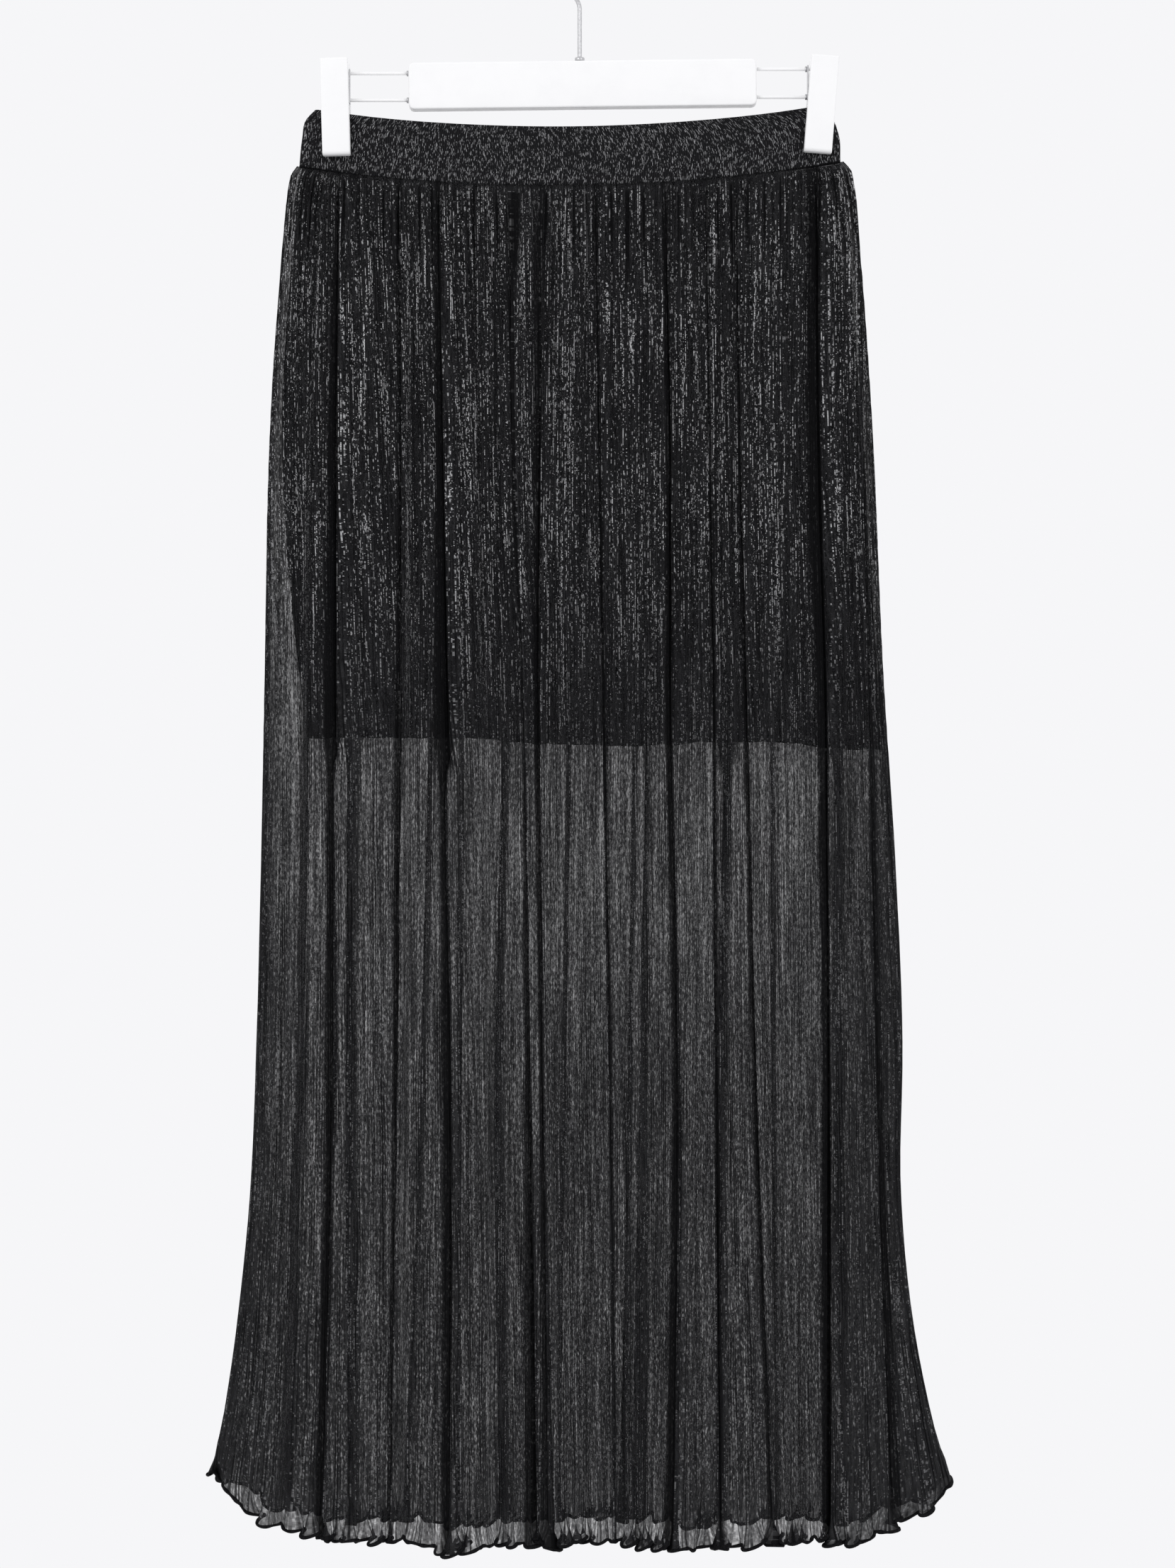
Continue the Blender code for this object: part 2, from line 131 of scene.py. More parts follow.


# %% [markdown]
# ## The hanging shape
# A level cut through a hung skirt is a long flat oval: pressed shut at the waist by the clips and
# open by some 100 mm at the hem. The tables give that oval at several heights, as the solid model
# does. The deep folds are listed one by one: where the valley of each runs at six heights, how
# wide it is there, how deep it is and how much shade is painted into it, and on which side the
# upper layer laps over it.

# %% Tables of the skirt
SIDE_LEFT_Z, SIDE_RIGHT_Z, WAIST_SAG = -155.4, -152.3, 15
BAND_HEIGHT, BAND_PINCHED, BAND_OPEN = 39.2, 1.4, 5.4
OPEN_REACH, PINCH_INNER = 62, (-146, 143.5)
SIDE_LENGTH, LINING_LENGTH, PANEL_ROUNDNESS = 861, 377, 2.6
PANEL_GAP = 0.15  # from each panel's edge to the middle plane

# drop below the waist seam, left, right, half depth, and what the open waist adds to it
SKIRT_TABLE = np.array([
    (0, -184.6, 172.2, 2.7, 5.2), (4, -187.4, 176, 7.6, 4.4), (12, -189.2, 177.9, 12, 4),
    (45, -192.9, 181.6, 16.5, 2.5), (150, -201.2, 189.6, 24, 0), (330, -205.4, 198.2, 30, 0),
    (450, -207.8, 206, 34, 0), (560, -210.6, 210.6, 37, 0), (660, -214.9, 209.6, 40, 0),
    (740, -222.2, 217.2, 43, 0), (820, -232.4, 232.6, 47, 0), (852, -237.9, 239.6, 49, 0),
    (861, -238.2, 240.6, 50, 0),
])
LINING_TABLE = np.array([
    (0, -181.2, 170.2, 1.7, 4), (12, -184.6, 173, 4, 4), (60, -188.2, 176.6, 7.6, 2),
    (170, -194.6, 184, 11, 0), (280, -189, 191, 12.5, 0), (377, -178, 198, 14, 0),
])

# each fold: its places and its widths at six drops, its depth and painted shade, and the upper
# layer's side
FOLD_DROPS = (0, 190, 358, 382, 560, SIDE_LENGTH)
PLACES, WIDTHS, DEPTH_AND_SHADE, SIDE = slice(0, 6), slice(6, 12), 12, 13
FRONT_FOLDS = np.array([
    (-157.5, -160, -161, -161, -160.6, -167, 2, 5, 8, 1.8, 4, 2.5, 1, 1),
    (-117.5, -116, -117.5, -117.7, -119, -122, 2.5, 1.4, 1, 0.9, 1, 1.2, 0.8, 1),
    (-92.6, -89.5, -88.5, -88.1, -85, -85, 2.5, 5, 9.5, 1.6, 4, 4, 1, 1),
    (-47, -43, -35.5, -35.2, -33, -31, 0.6, 0.7, 1.2, 1.2, 1.8, 7, 0.85, 1),
    (-24, -26.4, -27.2, -26.8, -24, -19, 1, 1.2, 1.6, 1.3, 1, 3, 0.9, 1),
    (10, 12.4, 15.6, 16, 19, 23, 0.8, 1.2, 1.2, 1, 1.2, 1.2, 0.9, -1),
    (55.8, 58, 58.5, 59, 63, 58, 1.2, 1.6, 2.2, 1.8, 3, 7, 1, 1),
    (82, 84, 87, 87.1, 88, 90, 0.7, 1, 1, 1, 1.2, 1.6, 0.9, -1),
    (102, 104, 108, 108.6, 113, 125, 0.8, 1, 1.2, 1, 1.2, 1.2, 0.8, 1),
    (152.6, 153.5, 158.5, 158.7, 160, 158.5, 5, 8.5, 6, 4.2, 4.5, 6, 1, 1),
    (183, 185, 189, 189.5, 193, 203, 1, 1.4, 2, 1.8, 2.4, 4, 0.8, -1),
])
BACK_FOLD_SHIFT = 9
# drops: down to the thigh the pleats lean, and at the knee the columns are spread evenly
THIGH, KNEE = 380, 450
LEVEL_HEM = np.array([(0, -1047)])


def gaping(x):
    """0 where the clips press the waist shut, rising smoothly to 1 between them."""
    inside = np.clip(np.minimum(x - PINCH_INNER[0], PINCH_INNER[1] - x), 0, None)
    return 1 - np.exp(-((inside / OPEN_REACH) ** 2))


def seam_height(across):
    """Height of the waist seam: a straight line between the side seams, less a parabola's sag."""
    chord = SIDE_LEFT_Z + (SIDE_RIGHT_Z - SIDE_LEFT_Z) * (across + 1) / 2
    return chord - WAIST_SAG * (1 - across**2)


def oval(share, flatness):
    """Points at equal shares of the length of half a superellipse: across -1..1 and out 0..1.
    |across|^n + out^n = 1, and the flatness is the real depth over the half width."""
    angle = np.linspace(0, math.pi, 2001)
    across = -np.sign(np.cos(angle)) * np.abs(np.cos(angle)) ** (2 / PANEL_ROUNDNESS)
    out = np.abs(np.sin(angle)) ** (2 / PANEL_ROUNDNESS)
    length = running(np.hypot(np.diff(across), flatness * np.diff(out)))
    here = share * length[-1]
    return np.interp(here, length, across), np.interp(here, length, out)


print("skirt, side seam:", SIDE_LENGTH, "mm;", len(FRONT_FOLDS), "deep folds in each panel")

# %% [markdown]
# ## One panel of cloth
# First the panel's columns are spread so that each fold keeps the same columns from waist to hem,
# as real cloth does. Then each fold is pushed in and lapped over: the cloth runs to the fold's
# edge, turns back behind itself, and turns forward again. Last come the 360 fine pleats, along
# the cloth's own normal, no two alike.

# %% Columns, folds and pleats
PLEATS, COLUMNS_PER_PLEAT = 360, 4
COLUMNS = PLEATS * COLUMNS_PER_PLEAT
DROPS = np.concatenate([
    [0, 1.5, 3.5, 6, 10, 16, 25, 38, 54],
    np.linspace(72, 832, 46),
    [839, 844, 848, 851, 853.5, 855.5, 857, 858.3, 859.4, 860.3, 861],
])


def lapped(distance, valley, depth_and_shade, side):
    """A fold for the distance along the cloth from the upper layer's edge, towards that layer:
    (sideways, inwards, tuck). Sideways is a sine faded out at both ends, steep enough to double
    back. Inwards is a bell on the valley's side, so the upper layer stays in front. Tuck is 1 in
    the valley: it ends sharply at the upper layer and fades slowly on the other side. It stands
    for the cloth bunched there and for the shade painted into the valley's colour."""
    wide = 3.2 + 0.65 * valley
    t = np.clip(distance / wide, -1, 1)
    fade = np.cos(math.pi * t / 2) ** 2
    sideways = -(0.36 + 0.26 * depth_and_shade) * wide * np.sin(math.pi * t) * fade
    inwards = depth_and_shade * (2 + 0.55 * valley) * np.exp(-(((t + 0.25) / 0.45) ** 2)) * fade**0.5
    edge = 0.4 * wide
    beyond = ramp(-distance, edge + 0.5 * valley, edge + 1.1 * valley + 0.7)
    tuck_and_shade = (1 - ramp(distance, 0.7 * edge, edge)) * (1 - beyond)
    return sideways * side, inwards, tuck_and_shade * depth_and_shade


def fold_rows(fold, drops):
    """Place and width of a fold's valley at each drop."""
    return eased(drops, FOLD_DROPS, fold[PLACES]), np.interp(drops, FOLD_DROPS, fold[WIDTHS])


def smooth_panel(table, drops, share, folds, hem, top_gap):
    """The panel without its fine pleats, facing the front, and how tucked-in each point is, which
    also sets the shade painted in the folds' valleys. The hem is rows of x and height, and the
    panel begins the top gap below the waist seam."""
    left, right, depth, open_ = (eased(drops, table[:, 0], column) for column in table[:, 1:].T)
    middle, half = (left + right) / 2, (right - left) / 2
    dense = np.linspace(0, 1, 801)
    where = [fold_rows(fold, drops)[0] for fold in folds]
    rows = []
    reference = None
    order = [int(np.argmin(np.abs(drops - KNEE)))]
    order += [row for row in range(len(drops)) if row != order[0]]
    for row in order:
        flatness = depth[row] / half[row]
        x_dense = middle[row] + half[row] * oval(dense, flatness)[0]
        held = np.array([np.interp(at[row], x_dense, dense) for at in where])
        if reference is None:
            reference = held
        spread = np.interp(share, [0, *reference, 1], [0, *held, 1])
        across, out = oval(spread, flatness)
        x = middle[row] + across * half[row]
        y = -(PANEL_GAP + (depth[row] + open_[row] * gaping(x)) * out)
        top = seam_height(across) - top_gap
        bottom = np.interp(x, hem[:, 0], hem[:, 1])
        z = top + (bottom - top) * drops[row] / table[-1, 0]
        rows.append(np.stack([x, y, z], axis=-1))
    base = np.array(rows)[np.argsort(order)]
    out = level_normal(base)
    along = rightwards(out)
    cloth = norm(np.diff(base, axis=1), axis=-1).sum(axis=1, keepdims=True)
    grown = (0.25 + 0.75 * ramp(drops, 0, 60))[:, None]
    tucked_and_shaded = 0
    for fold, middle_share in zip(folds, reference):
        valley = np.maximum(fold_rows(fold, drops)[1], 0.6)[:, None]
        depth_and_shade, side = fold[DEPTH_AND_SHADE], fold[SIDE]
        from_edge = (share - middle_share) * cloth * side - valley / 2
        aside, pushed, tuck_and_shade = lapped(from_edge, valley, depth_and_shade, side)
        base = base + along * (aside * grown)[..., None] - out * (pushed * grown)[..., None]
        tucked_and_shaded = np.maximum(tucked_and_shaded, tuck_and_shade * (0.6 + 0.4 * ramp(drops, 0, 30))[:, None])
    return base, tucked_and_shaded + 0 * base[..., 0]


def even_columns(folds):
    """Shares at which the folded cloth, at knee height, is cut into equal lengths; its width."""
    share, knee = np.linspace(0, 1, 6001), np.array([KNEE])
    level = smooth_panel(SKIRT_TABLE, knee, share, folds, LEVEL_HEM, 0.3)[0][0]
    length = running(norm(np.diff(level, axis=0), axis=1))
    return np.interp(np.linspace(0, length[-1], COLUMNS + 1), length, share), length[-1]


def wander(u, v, seed, scales):
    """Smooth irregular field of about -1..1: a few sine waves with seeded phases and directions.
    Each scale is (waves per unit of u, waves per unit of v)."""
    pick = np.random.default_rng(seed)
    total = 0
    for across, down in scales:
        for _ in range(3):
            turn, lean = pick.uniform(0, math.tau), pick.uniform(-1, 1)
            size = pick.uniform(0.6, 1.4)
            total = total + np.sin(math.tau * (across * size * u + down * lean * v) + turn)
    return total / (1.6 * math.sqrt(3 * len(scales)))


cloth_width = even_columns(FRONT_FOLDS)[1]
print(f"cloth across one panel: {cloth_width:.0f} mm, pleats of {cloth_width / PLEATS:.2f} mm")

# %% [markdown]
# ## The ruffled hem
# The hem is overlocked while the knit is stretched, so its edge is longer than the cloth above it
# and meanders. The bottom 15 mm swing in and out along the normal, double back sideways, and rise
# and fall, in waves of uneven length.

# %% The hem's line and its meander
HEM_RUFFLE, HEM_WAVES = 15, 29
# x and height of the hem, as it hangs at the front
FRONT_HEM = np.array([
    (-239, -1007), (-229, -1014), (-215, -1029), (-204, -1034), (-190, -1037), (-168, -1042),
    (-145, -1044), (-122, -1043), (-111, -1042), (-99, -1046), (-88, -1051), (-77, -1048),
    (-65, -1050), (-54, -1043), (-36, -1047), (-8, -1043), (26, -1043), (38, -1045), (60, -1048),
    (72, -1049), (106, -1046), (151, -1042), (168, -1046), (185, -1046), (196, -1037),
    (207, -1034), (219, -1030), (230, -1027), (236, -1020), (241, -1009),
])


def hem_meander(share, seed, lively):
    """(sideways, outwards, upwards) of the edge for each column. The turn is a phase that gains
    2 pi on each wave; sideways goes with the sine of twice the turn, which closes each
    bend, and lively scales the rise."""
    level = 0 * share
    turn = math.tau * (HEM_WAVES * share + 0.7 * wander(share, level, seed, [(4, 0), (9, 0)]))
    size = 0.85 + 0.55 * wander(share, level, seed + 1, [(7, 0), (15, 0)])
    sideways = -3.6 * size * np.sin(2 * turn)
    outwards = 4.6 * size * np.sin(turn)
    stray = wander(share, level, seed + 2, [(14, 0), (31, 0), (64, 0)])
    return sideways, outwards, (2.1 * size * np.cos(2 * turn + 0.8) + 1.9 * stray) * lively


# bands of painted highlight on the glitter: middle and width, then the drops between which they
# are brightest
HIGHLIGHT_BANDS = np.array([
    (-139, 12, 60, 222), (-107, 11, 15, 110), (-68, 9, 30, 400), (-33, 8, 60, 700),
    (-10, 8, 22, 222), (32, 5, 100, 250), (45, 5, 30, 300), (82, 8, 30, 500),
    (114, 8, 60, 420), (174, 16, 5, 120), (-125, 6, 400, 760), (12, 6, 380, 640),
    (70, 7, 420, 820), (-60, 6, 520, 840), (135, 7, 300, 700),
])


def highlight_banding(x, drop):
    """0 to 1: a bell across each band, faded in and out at its ends."""
    total = 0
    for middle, width, start, end in HIGHLIGHT_BANDS:
        bell = np.exp(-(((x - middle * (1 + 0.0003 * drop)) / (0.6 * width)) ** 2))
        over = 1 - ramp(drop, end - 40, end + 40)
        total = total + bell * ramp(drop, start - 15, start + 15) * over
    return np.minimum(total, 1)


# how far the pleats lean, in pleats for each millimetre down, at shares across the panel; each
# jump lies in the valley of a deep fold
FRONT_LEAN = np.array([
    (0, 0.045), (0.085, 0.050), (0.095, 0.012), (0.24, 0.040), (0.25, 0.006), (0.36, 0.018),
    (0.37, 0), (0.62, -0.004), (0.86, -0.006), (0.88, 0.010), (1, 0.014),
])
LEAN = {"front": FRONT_LEAN, "back": np.array([(0, 0.022), (1, -0.022)])}
# between the two folds beside this x, the cloth is wider at the waist than at the knee
PARTING = {"front": -30, "back": 39}


def parting_threads(base, folds, parting):
    """Threads to add between two folds that stand further apart than at the knee: the share of
    the way between them, times the pleats that fit into the added width. They run into the
    right-hand fold."""
    knee = np.argmin(np.abs(DROPS - KNEE))
    places = np.array([fold_rows(fold, DROPS)[0] for fold in folds])
    places = places[np.argsort(places[:, knee])]
    after = np.searchsorted(places[:, knee], parting)
    apart = places[after] - places[after - 1]
    way = (base[knee, :, 0] - places[after - 1, knee]) / apart[knee]
    way = np.where((way > 0) & (way < 1), way, 0)
    pleats = np.count_nonzero(way) / COLUMNS_PER_PLEAT
    return np.maximum(apart / apart[knee] - 1, 0)[:, None] * (way * pleats)[None]


def steepness(macro, share, x, drop):
    """What makes the cloth look denser: 1 / cosine, less 1, of its angle to the panel's own oval
    and of the oval's to the front, and a little more or less beside the side seams."""
    smooth = smooth_panel(SKIRT_TABLE, DROPS, share, [], FRONT_HEM, 0.3)[0]
    facing_oval = np.abs((level_normal(macro) * level_normal(smooth)).sum(axis=-1))
    bunched = np.abs(level_normal(smooth)[..., 1])
    slope = 0.7 / np.clip(facing_oval, 0.3, 1) - 0.7 + 0.9 / np.clip(bunched, 0.3, 1) - 0.9
    # beyond the last deep fold on the right, below the lining, the cloth is made denser
    below = ramp(drop, 366, 400)
    slope = slope + 0.42 * ramp(x, 156, 166) * below
    # on the left it hangs smoother beside the lining, and closer again below it
    slope = slope - 0.14 * ramp(-x, 172, 186) * (1 - below)
    return slope + 0.15 * ramp(-x, 180, 192) * ramp(drop, 400, 440)


def skirt_cloth(facing, folds, seed):
    """Front or back of the skirt as one thin sheet: points, UV, slope, tuck with its painted shade,
    and the bands of painted highlight on the glitter.
    """
    share = even_columns(folds)[0]
    base, tucked_and_shaded = smooth_panel(SKIRT_TABLE, DROPS, share, folds, FRONT_HEM, -0.8)
    drop = DROPS[:, None]
    down = drop / SIDE_LENGTH
    pleat = np.arange(COLUMNS + 1)[None] / COLUMNS_PER_PLEAT
    # down to the thighs the pleats lean, and run into the valleys of the folds
    lean = np.interp(share, LEAN[facing][:, 0], LEAN[facing][:, 1])[None]
    pleat = pleat - lean * np.minimum(drop, THIGH + 0.25 * (drop - THIGH))
    # soft waves of some 20 to 50 mm, between the deep folds
    swell = 1.5 * wander(pleat / PLEATS, down, seed + 3, [(9, 0.7), (17, 1.2)])
    swell *= ramp(drop, 20, 200) * np.sqrt(4 * share * (1 - share))
    # fine pleats, whose size changes from pleat to pleat and down their length
    ruffle_top = SIDE_LENGTH - HEM_RUFFLE
    uneven = wander(pleat, down, seed + 4, [(0.11, 2), (0.37, 5)])
    fine = 0.34 * (1 + 0.5 * uneven) * np.cos(math.tau * pleat)
    fine *= (0.5 + 0.5 * ramp(drop, 0, 12)) * (1 - 0.9 * ramp(drop, ruffle_top, SIDE_LENGTH - 1))
    macro = base + level_normal(base) * swell[..., None]
    macro[:, [0, -1], 1] = 0
    # gathers at the waist: grooves, with shade painted into them, that run out within some 80 mm
    gather = wander(share[None], down, seed + 6, [(42, 0.4), (75, 0.6)])
    gather = gather * ramp(drop, 1, 8) * (1 - ramp(drop, 25, 95))
    macro = macro + level_normal(macro) * gather[..., None]
    # painted shade: the gathers' grooves join the tuck, which darkens their colour
    tucked_and_shaded = np.maximum(tucked_and_shaded, ramp(-gather, 0.25, 0.75))
    out = level_normal(macro)
    points = macro + out * fine[..., None]
    # the ruffle: all of it at the hem, and none at the side seams
    sideways, outwards, upwards = hem_meander(share, seed + 5, 1 if facing == "front" else 1.5)
    loose = ramp(drop, ruffle_top, SIDE_LENGTH + 6) / ramp(SIDE_LENGTH, ruffle_top, SIDE_LENGTH + 6)
    loose = loose * np.minimum(1, np.minimum(share, 1 - share) * 110)
    swing = rightwards(out) * sideways[:, None] + out * outwards[:, None]
    points = points + loose[..., None] * (swing + np.array([0, 0, 1]) * upwards[:, None])
    # the side seams: both panels end on the middle plane, in a close dark line
    points[:, [0, -1], 1] = 0
    ends = [0, 1, 2, -3, -2, -1]
    tucked_and_shaded[:, ends] = np.maximum(tucked_and_shaded[:, ends], 0.5)
    slope = steepness(macro, share, points[..., 0], drop)
    # painted highlight: bands where a little more glitter shows
    painted_highlight = highlight_banding(points[..., 0], drop)
    pleat = pleat + parting_threads(base, folds, PARTING[facing])
    uv = np.dstack([pleat + 0 * drop, drop + 0 * pleat])
    return turned(facing, points, uv, slope, tucked_and_shaded, painted_highlight)


def turned(facing, points, *grids):
    """The back is a mirror image, and its columns run the other way: its faces point outwards."""
    if facing == "front":
        return points, *grids
    return [grid[:, ::-1] for grid in (points * [1, -1, 1], *grids)]


BACK_FOLDS = FRONT_FOLDS[::-1].copy()
BACK_FOLDS[:, PLACES] = BACK_FOLD_SHIFT - BACK_FOLDS[:, PLACES]
BACK_FOLDS[:, SIDE] *= -1
cloth = {}
for facing, folds, seed in (("front", FRONT_FOLDS, 11), ("back", BACK_FOLDS, 47)):
    points, uv, slope, tuck_and_shade, painted_highlight = skirt_cloth(facing, folds, seed)
    values = {"slope": slope, "tuck_and_shade": tuck_and_shade, "painted_highlight": painted_highlight}
    cloth[facing] = (points, grid_piece(f"skirt_{facing}_cloth", points, uv, values=values))

# %% [markdown]
# ## The overlocked roll
# The overlocker's thread wraps the cut edge into a firm cord about 2 mm thick: a round profile,
# carried along the hem's own line, follows every bend of the edge.

# %% A profile carried along a line


def carried(name, path, radius, sides, tips=False):
    """A round rod along the path: each ring stands square to it. A ring's first axis is the one of
    the ring before, less its part along the path, and the second is the cross product with the
    path. Tips are domed; other ends are flat."""
    path = np.asarray(path, float)
    radius = radius + np.zeros(len(path))
    if tips:
        ahead, behind = path[1] - path[0], path[-1] - path[-2]
        bow = np.array([0, 0.45, 0.8, 0.97])
        start = path[0] - ahead / norm(ahead) * radius[0] * (1 - bow[:, None]) * 0.8
        end = path[-1] + behind / norm(behind) * radius[-1] * (1 - bow[::-1, None]) * 0.8
        path = np.concatenate([start, path, end])
        dome = np.array([0.2, 0.6, 0.86, 0.98])
        radius = np.concatenate([radius[0] * dome, radius, radius[-1] * dome[::-1]])
    along = np.gradient(path, axis=0)
    along /= np.maximum(norm(along, axis=1, keepdims=True), 1e-9)
    axis = np.zeros_like(path)
    hint = np.eye(3)[1 if abs(along[0][1]) < 0.9 else 0]
    for i in range(len(path)):
        hint = hint - along[i] * (hint @ along[i])
        hint = hint / norm(hint)
        axis[i] = hint
    side = np.cross(along, axis)
    turn = math.tau * np.arange(sides) / sides
    points = path[:, None] + radius[:, None, None] * (
        np.cos(turn)[:, None] * axis[:, None] + np.sin(turn)[:, None] * side[:, None]
    )
    gone = running(norm(np.diff(path, axis=0), axis=1))
    uv = np.dstack(np.meshgrid(np.arange(sides + 1) / sides, gone))
    return grid_piece(name, points, uv, closed_across=True, filled=True)


rolls = {}
for facing, seed in (("front", 71), ("back", 72)):
    hem = cloth[facing][0][-1]
    at = np.arange(len(hem)) / COLUMNS
    thick = 1.12 * (1 + 0.3 * wander(at, 0 * at, seed, [(40, 0), (110, 0)]))
    rolls[facing] = carried(f"hem_roll_{facing}", hem, thick, 8)

# %% [markdown]
# ## The lining
# Under the sheer cloth hangs a short opaque lining, down to mid-thigh, in a few shallow waves. It
# is narrower than the skirt, so the left edge of the skirt stays see-through.

# %% Front and back of the lining
# x and height of the lining's hem
LINING_HEM = np.array([
    (-179, -528.5), (-161, -527.6), (-93, -527.6), (-54, -529), (-18, -531.8), (31, -533.1),
    (93, -530.4), (126, -530.4), (154, -532.7), (177, -535.4),
])


def lining_cloth(facing, seed):
    """The lining's oval at each drop, with shallow waves that grow towards its hem."""
    share = np.linspace(0, 1, 161)
    drops = np.concatenate([np.linspace(0, 360, 37), [366, 371, 375, LINING_LENGTH]])
    base = smooth_panel(LINING_TABLE, drops, share, [], LINING_HEM, 0.7)[0]
    down = drops[:, None]
    wave = wander(share[None], down / LINING_LENGTH, seed, [(4, 0.3), (9, 0.6)])
    wave = wave * np.sin(math.pi * share) * ramp(down, 10, LINING_LENGTH) * 1.8
    points = base + level_normal(base) * wave[..., None]
    rise = wander(share[None], 0 * down, seed + 1, [(6, 0), (14, 0)])
    points[..., 2] += 1.2 * ramp(down, 300, LINING_LENGTH) * rise
    points[:, [0, -1], 1] = -PANEL_GAP
    uv = np.dstack(np.meshgrid(share * 380, drops))
    return turned(facing, points, uv)


linings = {}
for facing, seed in (("front", 5), ("back", 9)):
    points, uv = lining_cloth(facing, seed)
    linings[facing] = grid_piece(f"lining_{facing}_cloth", points, uv)

# %% [markdown]
# ## The waistband
# The band is a loop of the same knit, doubled over elastic, pressed flat by the two clips and
# gaping between them. Its profile goes up the outside, over a round top edge and down the inside,
# so one grid that closes both ways makes the whole band.

# %% The band as a closed loop
BAND_WALL, BAND_COLUMNS, END_COLUMNS, COLUMNS_PER_RIB = 2.2, 721, 5, 3
# share of the height above the seam, left end, right end
BAND_TABLE = np.array([
    (0, -182.2, 169.3), (0.5, -180.2, 167.9), (0.82, -177.6, 162), (1, -171.8, 153),
])


def band_loop(height_share):
    """Plan of the band's middle at a share of its height: front, right end, back, left end."""
    left = eased(height_share, BAND_TABLE[:, 0], BAND_TABLE[:, 1]) + BAND_PINCHED
    right = eased(height_share, BAND_TABLE[:, 0], BAND_TABLE[:, 2]) - BAND_PINCHED
    x = np.linspace(left, right, BAND_COLUMNS)
    depth = BAND_PINCHED + BAND_OPEN * gaping(x)
    turn = np.linspace(0, math.pi, END_COLUMNS + 2)[1:-1]
    out, back = np.sin(turn) * BAND_PINCHED, np.cos(turn) * BAND_PINCHED
    back_side = np.array([x, depth])[:, ::-1]
    return np.hstack([[x, -depth], [right + out, -back], back_side, [left - out, back]])


def band_cloth():
    """Rows go round the profile: up the outside, over the top, down the inside, under the foot.
    The profile is (share of the height, side): 1 is outside, -1 inside."""
    up = np.concatenate([np.linspace(0, 0.97, 15), [0.985, 1]])
    profile = [(h, 1) for h in up] + [(1.012, 0.5), (1.015, -0.3)] + [(h, -1) for h in up[::-1]]
    profile += [(-0.006, -0.4), (-0.006, 0.5)]
    middle = (BAND_TABLE[0, 1] + BAND_TABLE[0, 2]) / 2
    half = (BAND_TABLE[0, 2] - BAND_TABLE[0, 1]) / 2
    rows = []
    for height_share, side in profile:
        plan = band_loop(height_share)
        height = seam_height((plan[0] - middle) / half) + BAND_HEIGHT * min(height_share, 1)
        level = np.vstack([plan, height]).T[None]
        out = level_normal(level, closed=True)
        rib = np.arange(level.shape[1])[None] / COLUMNS_PER_RIB
        relief = 0.16 * np.cos(math.tau * rib) * abs(side)
        moved = side * BAND_WALL / 2 + np.sign(side) * relief - 0.2 * np.sign(side)
        rows.append((level + out * moved[..., None])[0])
    points = np.array(rows)[::-1]
    # the UV: ribs round the band, and 40 mm up the outside and down the inside again
    tall = np.array([40 * h if side > 0 else 80 - 40 * h for h, side in profile])[::-1]
    tall = np.append(tall, tall[-1] - 1)
    uv = np.dstack(np.meshgrid(np.arange(points.shape[1] + 1) / COLUMNS_PER_RIB, tall))
    return grid_piece("waistband_cloth", points, uv, closed_across=True, closed_down=True)


band = band_cloth()

# %% [markdown]
# ## The hanger
# The bar and the jaws are slabs: rings of an outline go from face to face, and near each face
# they shrink along a quarter circle. Rods, hook and springs are round wires carried along lines.

# %% Slabs with rounded edges
BAR_SIZE, BAR_CORNER, BAR_EDGE = (227, 12.5, 30.5), 4, 1.3
BAR_CENTRE_X, BAR_TOP, BAR_TILT = 1.9, -86.4, math.radians(0.7)
JAW_WIDTH, JAW_EDGE, JAW_CORNER = 18.2, 1, 1.2
# distance from the band's middle, and height
JAW_OUTLINE = np.array([
    (2.9, -30.9), (2.9, -13), (5, -7.5), (5, 13), (8.2, 31.65), (12.2, 31.65),
    (11.4, -30), (9.8, -31.65), (3.6, -31.65),
])
# side, centre x, centre z, lean, rod's top and bottom, rod's far end
CLIPS = [
    ("left", -159.2, -117.1, math.radians(-1.55), -94, -111.5, -166.3),
    ("right", 157.5, -115.3, math.radians(4.5), -91.2, -109.4, 165),
]


def cut_corners(outline, radius, steps=5):
    """The outline with each corner replaced by a quadratic curve that starts and ends a radius
    away from it: (1-t)^2 a + 2t(1-t) corner + t^2 b."""
    before, after = np.roll(outline, 1, 0) - outline, np.roll(outline, -1, 0) - outline
    long_before = norm(before, axis=1, keepdims=True)
    long_after = norm(after, axis=1, keepdims=True)
    a = outline + before / long_before * np.minimum(radius, long_before * 0.45)
    b = outline + after / long_after * np.minimum(radius, long_after * 0.45)
    t = np.linspace(0, 1, steps)[:, None]
    a, corner, b = a[:, None], outline[:, None], b[:, None]
    return ((1 - t) ** 2 * a + 2 * t * (1 - t) * corner + t**2 * b).reshape(-1, 2)


def rectangle(width, height):
    """Corners of a rectangle round the origin."""
    return np.array([(1, 1), (-1, 1), (-1, -1), (1, -1)]) * [width / 2, height / 2]


